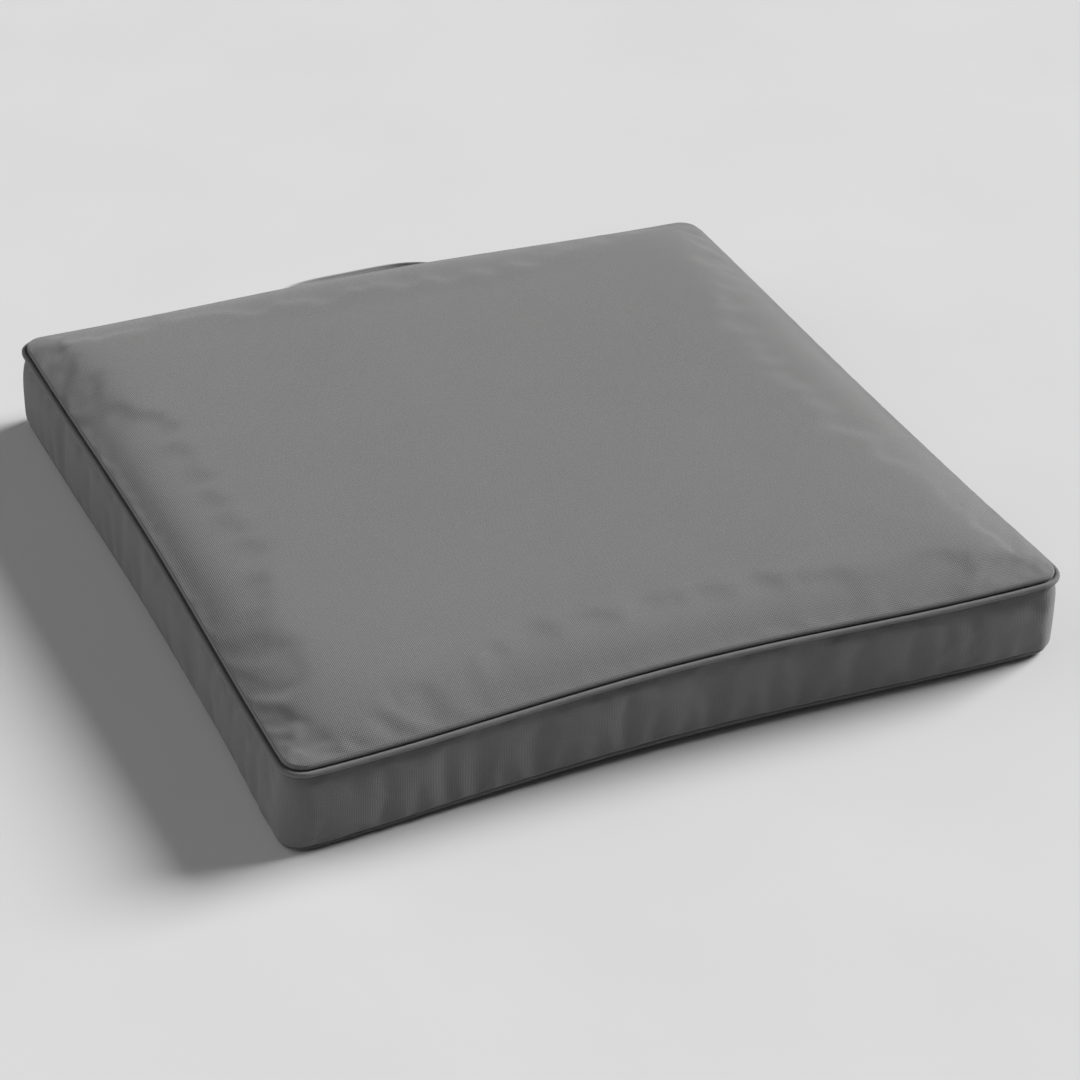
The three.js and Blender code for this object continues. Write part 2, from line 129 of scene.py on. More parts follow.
def settled(points):
    """Points of the square, unstrained pad, moved to where its seams pull them."""
    p = np.asarray(points, float)
    out = p.copy()
    t = np.clip((p[..., 2] - SEAM_LOW) / (SEAM_HIGH - SEAM_LOW), 0, 1)
    for axis, sign, pull, low, high, zipped in SIDES:
        inset = HALF - p[..., axis] * sign
        soft = 1 - smooth((inset - NEAR_SEAM) / (FLAT_INSET - NEAR_SEAM))
        along = np.clip(p[..., 1 - axis] / STRAIGHT, -1, 1)
        amount = soft * np.cos(along * math.pi / 2) ** 2
        if zipped:
            amount = amount * np.clip((np.abs(t - 0.5) - ZIP_FREE) / (0.5 - ZIP_FREE), 0, 1)
        out[..., axis] -= sign * pull * amount
        out[..., 2] += mix(low, high, t) * amount
    upper = np.clip((t - 0.5 - ZIP_FREE) / (0.5 - ZIP_FREE), 0, 1)
    rear, right = (1 + p[..., 1] / HALF) / 2, (1 + p[..., 0] / HALF) / 2
    out[..., 2] += upper * rear * (REAR_LEFT_RISE * (1 - right) + REAR_RIGHT_RISE * right)
    for x_sign, y_sign, is_top, spread, lift in CORNERS:
        away = np.maximum(np.abs(p[..., 0] - x_sign * HALF), np.abs(p[..., 1] - y_sign * HALF))
        amount = (1 - smooth(away / CORNER_REACH)) * (upper if is_top else 1 - smooth(t))
        out[..., :2] += amount[..., None] * spread * np.array([x_sign, y_sign])
        out[..., 2] += amount * lift * np.clip(p[..., 2] / SEAM_LOW, 0, 1)
    return out


def outline(arc):
    """(points, outward normals) on the stitch line at distances along it, from the right side's front end."""
    side = np.floor(arc / QUARTER)
    rest = arc - side * QUARTER
    turn = np.clip((rest - 2 * STRAIGHT) / CORNER, 0, None)
    straight = coords(HALF, rest - STRAIGHT)
    normal = coords(np.cos(turn), np.sin(turn))
    point = np.where((rest < 2 * STRAIGHT)[:, None], straight, STRAIGHT + CORNER * normal)
    c, s = np.cos(side * math.pi / 2), np.sin(side * math.pi / 2)

    def turned(v):
        return coords(v[:, 0] * c - v[:, 1] * s, v[:, 0] * s + v[:, 1] * c)

    return turned(point), turned(normal)


def waves(x, y, seed, scale):
    """A smooth irregular ripple of seeded sines, mostly within -1 to 1. scale is its usual wavelength."""
    draw = np.random.default_rng(seed)
    total = 0
    for _ in range(WAVE_SINES):
        angle, phase = draw.uniform(0, 2 * math.pi, 2)
        length = scale * draw.uniform(0.6, 1.7)
        total += np.sin((x * math.cos(angle) + y * math.sin(angle)) * 2 * math.pi / length + phase)
    return total / WAVE_SINES ** 0.5 / 1.5


# ---- Meshes ----
def added(name, data):
    """A new object in the scene."""
    obj = bpy.data.objects.new(name, data)
    bpy.context.scene.collection.objects.link(obj)
    return obj


def make(name, points, faces, look, corner_uv=None):
    mesh = bpy.data.meshes.new(name)
    mesh.from_pydata([tuple(p) for p in points], [], faces)
    mesh.update()
    if corner_uv is not None:
        layer = mesh.uv_layers.new(name="weave")
        layer.data.foreach_set("uv", np.asarray(corner_uv, np.float32).ravel())
    mesh.polygons.foreach_set("use_smooth", [True] * len(faces))
    mesh.materials.append(look)
    return added(name, mesh)


def cleaned(mesh, merge=0.0):
    """Merges points closer than merge, and turns all faces outwards."""
    bm = bmesh.new()
    bm.from_mesh(mesh)
    if merge:
        bmesh.ops.remove_doubles(bm, verts=bm.verts, dist=merge)
    bmesh.ops.recalc_face_normals(bm, faces=bm.faces)
    bm.to_mesh(mesh)
    bm.free()
    mesh.update()


def grid_faces(m, n, around=False, across=False, start=0):
    """Faces over m rows of n points. around joins the last row to the first, and across closes each row."""
    faces = []
    for i in range(m if around else m - 1):
        near, far = start + i * n, start + (i + 1) % m * n
        for j in range(n if across else n - 1):
            right = (j + 1) % n
            faces.append((near + j, far + j, far + right, near + right))
    return faces


def cap_faces(m, n, start=0):
    return [tuple(range(first, first + n)) for first in (start, start + (m - 1) * n)]


def skin(name, rows, look, uv=None, around=False, across=False, capped=False):
    """A mesh over rows of points. uv holds one more row and column than the points, so that a closed skin has
    no backward jump."""
    rows = np.asarray(rows, float)
    m, n = rows.shape[:2]
    faces = grid_faces(m, n, around, across)
    caps = cap_faces(m, n) if capped else []
    if uv is not None:
        down, over = (m if around else m - 1), (n if across else n - 1)
        near, far = uv[:down], uv[1:down + 1]
        corners = [near[:, :over], far[:, :over], far[:, 1:over + 1], near[:, 1:over + 1]]
        uv = np.concatenate([np.stack(corners, 2).reshape(-1, 2), *[uv[0, :n] for _ in caps]])
    obj = make(name, rows.reshape(-1, 3), faces + caps, look, uv)
    for cap in list(obj.data.polygons)[len(faces):]:
        cap.use_smooth = False
    if across and (around or capped):
        cleaned(obj.data)
    return obj


def bunch(name, blocks, look):
    """One mesh of many closed tubes, each given as its rows of points."""
    points, faces = [], []
    for rows in blocks:
        m, n = rows.shape[:2]
        faces += grid_faces(m, n, across=True, start=len(points)) + cap_faces(m, n, len(points))
        points += [tuple(p) for p in rows.reshape(-1, 3)]
    obj = make(name, points, faces, look)
    cleaned(obj.data)
    return obj


def oval(half_a, half_b, count, square=2.0):
    """Points around an oval. square above 2 makes it more like a rectangle."""
    angle = np.linspace(0, 2 * math.pi, count, endpoint=False)
    c, s = np.cos(angle), np.sin(angle)
    power = 2 / square
    return coords(half_a * np.sign(c) * np.abs(c) ** power, half_b * np.sign(s) * np.abs(s) ** power)


def swept(path, section, side):
    """Rows of a section's points along a path. The section's first axis points to side all along it."""
    path = np.asarray(path, float)
    tangent = np.gradient(path, axis=0)
    tangent /= np.linalg.norm(tangent, axis=1, keepdims=True)
    side = np.broadcast_to(np.asarray(side, float), path.shape)
    across = side - tangent * np.sum(side * tangent, axis=1, keepdims=True)
    across /= np.linalg.norm(across, axis=1, keepdims=True)
    up = np.cross(tangent, across)
    a, b = section[:, 0, None], section[:, 1, None]
    return path[:, None] + across[:, None] * a + up[:, None] * b


def lengths(points):
    """The distance along a line of points at each of them."""
    return np.append(0, np.cumsum(np.linalg.norm(np.diff(points, axis=0), axis=1)))


def stitch_rows(start, end, out, radius):
    """One stitch: the thread comes out of the cloth at start, lies on it and goes back in at end."""
    t = np.linspace(0, 1, 7)
    start, end, out = (np.asarray(v, float) for v in (start, end, out))
    lift = radius * (2.2 * np.sin(math.pi * t) ** 0.5 - 1.6)
    path = start + (end - start) * t[:, None] + out * lift[:, None]
    return swept(path, oval(radius, radius, 6), np.cross(out, end - start))


def uv_grid(first, second, last_step=None):
    """UVs in metres over two lists of distances, each with one more step at its end."""
    second = np.append(second, second[-1] + (last_step or second[-1] - second[-2]))
    return coords(*np.meshgrid(np.append(first, 2 * first[-1] - first[-2]), second, indexing="ij"))


def coordinates(obj):
    co = np.zeros(len(obj.data.vertices) * 3)
    obj.data.vertices.foreach_get("co", co)
    return co.reshape(-1, 3)


def set_coordinates(obj, co):
    obj.data.vertices.foreach_set("co", np.asarray(co, np.float32).ravel())
    obj.data.update()


def thickened(obj, thickness, levels=0):
    """Makes a sheet finer and gives it its thickness, both as part of its mesh."""
    if levels:
        obj.modifiers.new("finer", "SUBSURF").levels = levels
    solid = obj.modifiers.new("thickness", "SOLIDIFY")
    solid.thickness = thickness
    solid.offset = -1
    graph = bpy.context.evaluated_depsgraph_get()
    mesh = bpy.data.meshes.new_from_object(obj.evaluated_get(graph), depsgraph=graph)
    obj.modifiers.clear()
    obj.data = mesh


def joined(name, objects):
    """One object made of several meshes."""
    bm = bmesh.new()
    for o in objects:
        bm.from_mesh(o.data)
    mesh = bpy.data.meshes.new(name)
    bm.to_mesh(mesh)
    bm.free()
    mesh.materials.append(objects[0].data.materials[0])
    for o in objects:
        bpy.data.objects.remove(o)
    return added(name, mesh)


CLOTH = {
    "quality": 6,
    "mass": 0.15,
    "tension_stiffness": 12,
    "compression_stiffness": 12,
    "shear_stiffness": 6,
    "bending_stiffness": 0.35,
    "use_pressure": True,
}


def relaxed(obj, held, ease, pressure, frames, cap):
    """Cloth simulation of a sheet whose held points stay still. The cloth is cut larger than its place by the
    share ease, so it puckers where it is sewn. No point moves more than about cap."""
    before = coordinates(obj)
    group = obj.vertex_groups.new(name="held")
    group.add(np.flatnonzero(held).tolist(), 1.0, "REPLACE")
    cloth = obj.modifiers.new("cloth", "CLOTH")
    for setting, value in CLOTH.items():
        setattr(cloth.settings, setting, value)
    cloth.settings.shrink_min = -ease
    cloth.settings.vertex_group_mass = group.name
    cloth.settings.uniform_pressure_force = pressure
    cloth.settings.effector_weights.gravity = 0
    cloth.collision_settings.use_collision = False
    cloth.point_cache.frame_start, cloth.point_cache.frame_end = 1, frames
    scene = bpy.context.scene
    for step in range(1, frames + 1):
        scene.frame_set(step)
    moved = coordinates(obj.evaluated_get(bpy.context.evaluated_depsgraph_get())) - before
    obj.modifiers.clear()
    obj.vertex_groups.clear()
    scene.frame_set(1)
    size = np.linalg.norm(moved, axis=1, keepdims=True)
    set_coordinates(obj, before + moved * np.tanh(size / cap) * cap / np.maximum(size, 1e-9))


# ---- Materials ----
class Nodes:
    """The node tree of a new material or world, with one call for each node."""

    def __init__(self, name, kind="materials"):
        self.owner = getattr(bpy.data, kind).new(name)
        self.owner.use_nodes = True
        self.tree = self.owner.node_tree

    def put(self, value, socket):
        if isinstance(value, bpy.types.NodeSocket):
            self.tree.links.new(value, socket)
        elif value is not None:
            socket.default_value = value

    def node(self, kind, *values, **named):
        """A node with its inputs, in order or by name, each a value or another node's socket."""
        node = self.tree.nodes.new("ShaderNode" + kind)
        for key, value in [*enumerate(values), *named.items()]:
            self.put(value, node.inputs[key])
        return node

    def math(self, operation, *values):
        node = self.node("Math", *values)
        node.operation = operation
        return node.outputs[0]

    def plus(self, a, b):
        return self.math("ADD", a, b)

    def times(self, a, b):
        return self.math("MULTIPLY", a, b)

    def ridges(self, value):
        """A rounded ridge over each whole step of a value."""
        return self.math("SINE", self.times(self.math("FRACT", value), math.pi))

    def uv(self):
        node = self.node("UVMap")
        node.uv_map = "weave"
        return node.outputs[0]

    def place(self, kind="Object"):
        return self.node("TexCoord").outputs[kind]

    def parts(self, vector):
        return self.node("SeparateXYZ", vector).outputs[:3]

    def stretched(self, vector, scale, turn=0.0):
        return self.node("Mapping", vector, Scale=scale, Rotation=(0, 0, turn)).outputs[0]

    def noise(self, vector, scale, detail, roughness):
        return self.node("TexNoise", vector, Scale=scale, Detail=detail, Roughness=roughness).outputs[0]

    def cells(self, vector, scale):
        return self.node("TexVoronoi", vector, Scale=scale).outputs["Distance"]

    def ramp(self, value, stops):
        node = self.node("ValToRGB", value)
        for element, (at, color) in zip(node.color_ramp.elements, stops):
            element.position = at
            element.color = (*color, 1)
        return node.outputs[0]

    def blend(self, share, a, b, kind="MIX"):
        node = self.node("Mix", share)
        node.data_type = "RGBA"
        node.blend_type = kind
        for value, socket in ((a, node.inputs[6]), (b, node.inputs[7])):
            self.put((*value, 1) if isinstance(value, tuple) else value, socket)
        return node.outputs[2]

    def shaded(self, color, tone):
        return self.blend(1.0, color, tone, "MULTIPLY")

    def range(self, value, low, high, new_low, new_high):
        return self.node("MapRange", value, low, high, new_low, new_high).outputs[0]

    def bump(self, height, distance, strength, under=None):
        return self.node("Bump", Strength=strength, Distance=distance, Height=height, Normal=under).outputs[0]

    def finish(self, color, roughness, normal=None, **fixed):
        shader = self.tree.nodes["Principled BSDF"]
        fixed.update(Base_Color=color, Roughness=roughness, Normal=normal)
        for name, value in fixed.items():
            self.put(value, shader.inputs[name.replace("_", " ")])
        return self.owner


THREAD_PITCH = 0.95 * MM  # of the cover's weave


def grey(value, warmth=0.0):
    return (value * (1 + warmth), value, value * (1 - warmth))


def plain_weave(n, vector):
    """(height, warp on top) of a plain weave."""
    u, v = (n.math("DIVIDE", axis, THREAD_PITCH) for axis in n.parts(vector)[:2])
    cell = n.plus(n.math("FLOOR", u), n.math("FLOOR", v))
    over = n.math("PINGPONG", cell, 1.0)
    across_u, across_v = n.ridges(u), n.ridges(v)
    warp = n.times(across_u, n.math("MULTIPLY_ADD", across_v, 0.55, 0.45))
    weft = n.times(across_v, n.math("MULTIPLY_ADD", across_u, 0.55, 0.45))
    return n.plus(n.times(warp, over), n.times(weft, n.math("SUBTRACT", 1.0, over))), over


def woven(name, base, turn=0.0):
    """Matt woven fabric: threads of slightly different greys with slubs, and soft wear on a larger scale. The
    colour is also painted darker in the weave's hollows and lighter on its raised threads: painted shade and
    light.
    """
    n = Nodes(name)
    uv = n.stretched(n.uv(), (1, 1, 1), turn)
    height, over = plain_weave(n, uv)
    fast, slow = 1 / THREAD_PITCH, 0.06 / THREAD_PITCH
    slubs = [n.noise(n.stretched(uv, scale), 1.0, 2.0, 0.6) for scale in ((slow, fast, 1), (fast, slow, 1))]
    slub = n.blend(over, *slubs)
    fibres = n.noise(uv, 6 / THREAD_PITCH, 2.0, 0.7)
    broad = n.noise(n.place(), 9.0, 4.0, 0.55)
    tone = n.plus(n.math("MULTIPLY_ADD", slub, 0.16, -0.08), 1.0)
    tone = n.plus(tone, n.math("MULTIPLY_ADD", fibres, 0.12, -0.06))
    tone = n.plus(tone, n.math("MULTIPLY_ADD", broad, 0.10, -0.05))
    # Painted shade and light: darker in the weave's hollows and lighter on its raised threads, following the
    # weave's height.
    tone = n.times(tone, n.range(height, 0.0, 1.0, 0.72, 1.08))
    normal = n.bump(n.plus(height, n.times(fibres, 0.35)), 0.22 * MM, 0.9, n.bump(broad, 0.5 * MM, 0.25))
    roughness = n.range(fibres, 0.3, 0.7, 0.82, 0.95)
    fixed = {"Sheen_Weight": 0.25, "Sheen_Roughness": 0.45, "Specular_IOR_Level": 0.25}
    return n.finish(n.shaded(grey(base, 0.004), tone), roughness, normal, **fixed)


def ribbed_webbing(name, base):
    """Webbing: lengthwise ribs, each crossed by slanting threads."""
    n = Nodes(name)
    uv = n.uv()
    u, v, _ = n.parts(uv)
    rib = n.math("DIVIDE", v, 1.9 * MM)
    side = n.math("SUBTRACT", n.times(n.math("PINGPONG", n.math("FLOOR", rib), 1.0), 2.0), 1.0)
    slant = n.times(n.times(v, side), 0.9)
    threads = n.ridges(n.math("DIVIDE", n.plus(u, slant), 1.15 * MM))
    height = n.plus(n.times(n.ridges(rib), 0.6), n.times(threads, 0.4))
    fibres = n.noise(uv, 5000.0, 2.0, 0.7)
    broad = n.noise(n.place(), 30.0, 3.0, 0.5)
    # Painted shade and light: darker in the hollows between ribs and threads and lighter on their crowns,
    # following the height.
    tone = n.times(n.range(height, 0.0, 1.0, 0.62, 1.1), n.range(fibres, 0.3, 0.7, 0.93, 1.07))
    tone = n.times(tone, n.range(broad, 0.3, 0.7, 0.94, 1.06))
    normal = n.bump(n.plus(height, n.times(fibres, 0.15)), 0.35 * MM, 0.9)
    return n.finish(n.shaded(grey(base), tone), 0.62, normal, Sheen_Weight=0.15, Specular_IOR_Level=0.35)


def herringbone_tape(name, base):
    n = Nodes(name)
    uv = n.uv()
    u, v, _ = n.parts(uv)
    band = n.math("PINGPONG", n.math("DIVIDE", v, 1.6 * MM), 1.0)
    height = n.ridges(n.plus(n.math("DIVIDE", u, 0.55 * MM), n.times(band, 1.6)))
    fibres = n.noise(uv, 5000.0, 2.0, 0.7)
    # Painted shade and light: darker in the herringbone's hollows and lighter on its ridges, following the
    # height.
    tone = n.times(n.range(height, 0.0, 1.0, 0.6, 1.15), n.range(fibres, 0.3, 0.7, 0.9, 1.1))
    normal = n.bump(height, 0.12 * MM, 0.8)
    return n.finish(n.shaded(grey(base), tone), 0.85, normal, Sheen_Weight=0.2, Specular_IOR_Level=0.3)


def grained(name, stops, grain, roughness, bump, **fixed):
    """A surface whose colour, roughness and height all follow one fine noise."""
    n = Nodes(name)
    noise = n.noise(n.place(), *grain)
    return n.finish(n.ramp(noise, stops), n.range(noise, 0.3, 0.7, *roughness), n.bump(noise, *bump), **fixed)


def dark_nickel(name, base):
    """Plated zinc: fine grain along Y, with the plating rubbed lighter in places."""
    n = Nodes(name)
    place = n.place()
    grain = n.noise(n.stretched(place, (4000, 260, 4000)), 1.0, 3.0, 0.6)
    rubbed = n.noise(place, 420.0, 4.0, 0.6)
    color = n.blend(n.range(rubbed, 0.52, 0.72, 0.0, 0.45), grey(base, 0.01), grey(base * 2.1, 0.02))
    roughness = n.range(grain, 0.3, 0.7, 0.24, 0.42)
    return n.finish(color, roughness, n.bump(grain, 0.01 * MM, 0.35), Metallic=1.0)


def open_cell_foam(name):
    n = Nodes(name)
    place = n.place()
    broad = n.noise(place, 14.0, 4.0, 0.55)
    height = n.plus(n.times(n.cells(place, 900.0), 0.7), n.times(n.cells(place, 2300.0), 0.3))
    # Painted shade: the hollows of the cells are coloured darker, following the pores' height.
    color = n.ramp(height, [(0.1, (0.36, 0.31, 0.2)), (0.55, (0.74, 0.69, 0.55))])
    color = n.shaded(color, n.range(broad, 0.3, 0.7, 0.92, 1.04))
    return n.finish(color, 0.95, n.bump(height, 0.5 * MM, 0.8), Subsurface_Weight=0.05)


def wadding(name):
    n = Nodes(name)
    place = n.place()
    strands = n.noise(n.stretched(place, (900, 260, 900), 0.4), 1.0, 5.0, 0.75)
    lumps = n.noise(place, 60.0, 4.0, 0.6)
    color = n.ramp(strands, [(0.25, grey(0.62)), (0.7, grey(0.9))])
    normal = n.bump(n.plus(strands, lumps), 0.8 * MM, 0.7)
    return n.finish(color, 0.95, normal, Sheen_Weight=0.4, Subsurface_Weight=0.08)


def satin_ribbon(name):
    n = Nodes(name)
    floats = n.noise(n.stretched(n.uv(), (900, 9000, 1)), 1.0, 2.0, 0.5)
    color = n.ramp(floats, [(0.3, grey(0.72, 0.01)), (0.7, grey(0.86, 0.01))])
    return n.finish(color, n.range(floats, 0.3, 0.7, 0.28, 0.42), n.bump(floats, 0.03 * MM, 0.5))


COVER_GREY = 0.185
cover = woven("cover_fabric", COVER_GREY)
# The welt's cloth is a touch darker than the cover's: painted shade, for the dark line of shade along the
# welts.
welt_cloth = woven("welt_fabric", COVER_GREY * 0.97, turn=math.pi / 4)
webbing = ribbed_webbing("webbing", 0.48)
tape_cloth = herringbone_tape("zip_tape", 0.05)
thread = grained(
    "thread", [(0.25, grey(0.14)), (0.75, grey(0.23))], (3500.0, 2.0, 0.6), (0.55, 0.55), (0.08 * MM, 0.7),
    Sheen_Weight=0.2,
)
nylon = grained(
    "zip_nylon", [(0.3, grey(0.03825)), (0.7, grey(0.054))], (2600.0, 3.0, 0.6), (0.32, 0.48),
    (0.03 * MM, 0.4),
)
nickel = dark_nickel("zip_nickel", 0.16)
foam = open_cell_foam("foam")
fibre = wadding("fibre_wadding")
cotton = grained(
    "welt_cord", [(0.25, (0.5, 0.46, 0.38)), (0.7, (0.8, 0.77, 0.69))], (2400.0, 4.0, 0.7), (0.9, 0.9),
    (0.2 * MM, 0.7), Sheen_Weight=0.3,
)
ribbon = satin_ribbon("label_ribbon")


def finished(obj, slot, *nodes, body="root"):
    """A finished piece: it stands for the CAD nodes named, and rides on a body. slot is not used."""
    if nodes:
        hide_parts(*nodes)
    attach(obj, body)


def cover_piece(obj, node, levels=1):
    """Cloth of the cover, over the fill that pads it."""
    thickened(obj, FABRIC, levels)
    finished(obj, "cover_fabric", node)


# ---- Top and bottom panels ----
PANEL_CELLS = 104
# A panel's edge turns under in a round lip, which shades the seam.
LIP_OUT = -0.35 * MM  # its outermost point, from the stitch line
LIP_GAP = 0.1 * MM  # from the lip to the seam's plane
LIP_TURN = math.radians(142)  # how far the lip turns under
TOP_LIP = (2.1 * MM, math.radians(33))  # the radius, and the turn where the open panel ends
BOTTOM_LIP = (0.95 * MM, math.radians(15))


def lip_place(lip):
    """Where the open panel ends: (inset from the stitch line, height above the seam's plane)."""
    radius, start = lip
    return radius * (1 - math.sin(start)) - LIP_OUT, radius * (1 + math.cos(start)) + LIP_GAP


def panel_grid(half, corner):
    """A grid over a square with rounded corners, finer towards its edges: (x, y, inset in x, inset in y)."""
    t = np.linspace(-1, 1, PANEL_CELLS + 1)
    line = half * t * (1.25 - 0.25 * t * t)
    x, y = np.meshgrid(line, line, indexing="ij")
    inset_x, inset_y = half - np.abs(x), half - np.abs(y)
    straight = half - corner
    past_x, past_y = (np.clip(np.abs(axis) - straight, 0, None) for axis in (x, y))
    far = np.hypot(past_x, past_y)
    pull = np.where(far > 0, np.maximum(past_x, past_y) / np.maximum(far, 1e-9), 1)
    x = np.sign(x) * (np.minimum(np.abs(x), straight) + past_x * pull)
    y = np.sign(y) * (np.minimum(np.abs(y), straight) + past_y * pull)
    return x, y, inset_x, inset_y


def rise(inset_x, inset_y, reach):
    """0 at the seam and 1 far inside, on both axes."""
    return (1 - np.exp(-inset_x / reach)) * (1 - np.exp(-inset_y / reach))


def top_height(inset_x, inset_y):
    """Height of the top's outer face before its seams are pulled."""
    lip = SEAM_HIGH + lip_place(TOP_LIP)[1]
    return lip + (CROWN - lip) * rise(inset_x, inset_y, 20 * MM)


def perimeter(grid):
    """The points around the edge of a square grid, in order."""
    return np.concatenate([grid[:-1, 0], grid[-1, :-1], grid[:0:-1, -1], grid[0, :0:-1]])


def lip_rings(edge, way, lip):
    """Rings that carry on from a panel's edge, round its lip and in under it. way is 1 on the top."""
    radius, start = lip
    out = edge[:, :2] - np.clip(edge[:, :2], -STRAIGHT, STRAIGHT)
    out /= np.linalg.norm(out, axis=1, keepdims=True)
    turn = np.linspace(start, LIP_TURN, 8)[1:]
    section = (radius * (coords(np.sin(turn), np.cos(turn)) - [math.sin(start), math.cos(start)])).tolist()
    last = section[-1][1]
    section += [(-0.5 * MM, last - 0.05 * MM), (-4.5 * MM, last - 0.1 * MM)]
    rings = []
    for reach, drop in section:
        ring = edge.copy()
        ring[:, :2] += out * reach
        ring[:, 2] += way * drop
        rings.append(ring)
    return rings


def seam_ripple(x, y, inset, seed, reach):
    """Puckers that run in from a seam, strongest just inside it."""
    along = np.where(np.abs(x) > np.abs(y), y, x)
    which = np.where(np.abs(x) > np.abs(y), np.sign(x), 2 * np.sign(y))
    fine = waves(along, which * 0.7, seed, 17 * MM)
    patchy = 0.55 + 0.45 * waves(along, which * 0.4, seed + 1, 120 * MM)
    near = np.exp(-((inset - 6 * MM) / reach) ** 2) * np.clip(inset / (3 * MM), 0, 1)
    return fine * patchy * near


def panel(name, points, way, lip):
    """A cover panel: a grid of unstrained points, with the lip along its seam. way is 1 on the top."""
    rings = lip_rings(perimeter(points), way, lip)
    size = len(points)
    faces = grid_faces(size, size)
    inner = perimeter(np.arange(size * size).reshape(size, size)).tolist()
    count = len(inner)
    for k in range(len(rings)):
        outer = [size * size + k * count + i for i in range(count)]
        faces += [(inner[i], outer[i], outer[(i + 1) % count], inner[(i + 1) % count]) for i in range(count)]
        inner = outer
    flat = np.concatenate([points.reshape(-1, 3), *rings])
    obj = make(name, settled(flat), faces, cover, flat[np.ravel(faces), :2])
    cleaned(obj.data)
    return obj


def top_panel():
    end = lip_place(TOP_LIP)[0]
    x, y, inset_x, inset_y = panel_grid(HALF - end, CORNER - end)
    inset = np.minimum(inset_x, inset_y)
    z = top_height(inset_x, inset_y)
    z += 0.22 * MM * seam_ripple(x, y, inset, 11, 9 * MM)
    z += 0.35 * MM * waves(x, y, 5, 150 * MM) * np.clip(inset / (30 * MM), 0, 1)
    obj = panel("top_panel_cloth", coords(x, y, z), 1, TOP_LIP)
    held = np.ones(len(obj.data.vertices))
    held[:inset.size] = inset.ravel() < 0.1 * MM
    relaxed(obj, held, ease=0.010, pressure=1.6, frames=22, cap=1.15 * MM)
    cover_piece(obj, "top_panel")


def bottom_panel():
    end, height = lip_place(BOTTOM_LIP)
    x, y, inset_x, inset_y = panel_grid(HALF - end, CORNER - end)
    inset = np.minimum(inset_x, inset_y)
    edge = SEAM_LOW - height
    z = edge - edge * rise(inset_x, inset_y, 5 * MM)
    z += 0.3 * MM * np.abs(waves(x, y, 8, 60 * MM)) * np.clip(inset / (20 * MM), 0, 1)
    z += 0.2 * MM * np.abs(seam_ripple(x, y, inset, 21, 8 * MM))
    obj = panel("bottom_panel_cloth", coords(x, y, z), -1, BOTTOM_LIP)
    cover_piece(obj, "bottom_panel", 0)


# ---- Boxing ----
BOX_EDGE = 0.7 * MM  # from a seam to the boxing's edge
BOX_FACE = 2.6 * MM  # how far the boxing bulges past the stitch line
TUCK = 2.2 * MM  # how far its edges go in under the welts


def strip_rows(arc, profile):
    """Rows along the stitch line. profile is one list of (distance out, height), or one for each row."""
    point, normal = outline(arc)
    profile = np.asarray(profile, float)
    flat = point[:, None] + normal[:, None] * profile[..., 0, None]
    return coords(flat[..., 0], flat[..., 1], profile[..., 1])


def boxing_profile():
    """From the bottom seam to the top one: quickly out over the bottom welt, gently in under the top one."""
    share = (1 - np.cos(np.linspace(0, math.pi, 25))) / 2
    z = mix(SEAM_LOW + BOX_EDGE, SEAM_HIGH - BOX_EDGE, share)
    inward = np.maximum(share ** 8, (1 - share) ** 90)
    return coords(BOX_FACE - (TUCK + BOX_FACE) * inward, z)


def pressed_by_handle(points):
    """Cloth held flat under the handle's two sewn ends."""
    x, y, z = points[..., 0], points[..., 1], points[..., 2]
    middle = (TAB_LOW + TAB_HIGH) / 2
    half = (TAB_HIGH - TAB_LOW) / 2
    past_x = np.clip(np.abs(np.abs(x) - middle.x) - half.x, 0, None)
    past_z = np.clip(np.abs(z - middle.z) - half.z, 0, None)
    limit = HANDLE_FACE - 0.25 * MM + 0.25 * np.hypot(past_x, past_z)
    points[..., 1] = np.where(y > 0, np.minimum(y, limit), y)
    return points


def boxing():
    first = STRAIGHT + BAND_END + 0.3 * MM
    last = 4 * QUARTER + STRAIGHT - BAND_END - 0.3 * MM
    arc = np.linspace(first, last, 460)
    profile = boxing_profile()
    rows = strip_rows(arc, profile)
    normal = outline(arc)[1]
    v = np.linspace(-1, 1, len(profile))
    ripple = waves(arc[:, None], 0, 31, 26 * MM) * (0.35 + 0.65 * np.abs(v)) * (1 - v ** 8)
    broad = waves(arc[:, None], v * 30 * MM, 37, 150 * MM) * (1 - v ** 2)
    rows[..., :2] += normal[:, None] * (0.3 * MM * ripple + 0.6 * MM * broad)[..., None]
    rows = settled(rows)
    obj = skin("boxing_cloth", rows, cover, uv_grid(arc, profile[:, 1]))
    held = np.zeros(rows.shape[:2])
    held[:, [0, -1]] = held[[0, -1]] = 1
    relaxed(obj, held.ravel(), ease=0.012, pressure=1.0, frames=16, cap=1.4 * MM)
    set_coordinates(obj, pressed_by_handle(coordinates(obj)))
    cover_piece(obj, "boxing_strip")


# ---- Bands above and below the zip ----
BAND_FACE = 2.1 * MM  # past the stitch line, as the frame's bands are
FOLD_RADIUS = 0.95 * MM
FOLD_LENGTH = 9 * MM
ZIP_HALF_GAP = 5.2 * MM
STITCH_PITCH, BOX_PITCH = 3.2 * MM, 2.4 * MM  # along the zip's bands, and on the handle's ends
STITCH_SHARE = 0.78  # of its pitch that a stitch's thread lies on the cloth
STITCH_INSET = 3.0 * MM  # from a band's folded edge to its topstitches


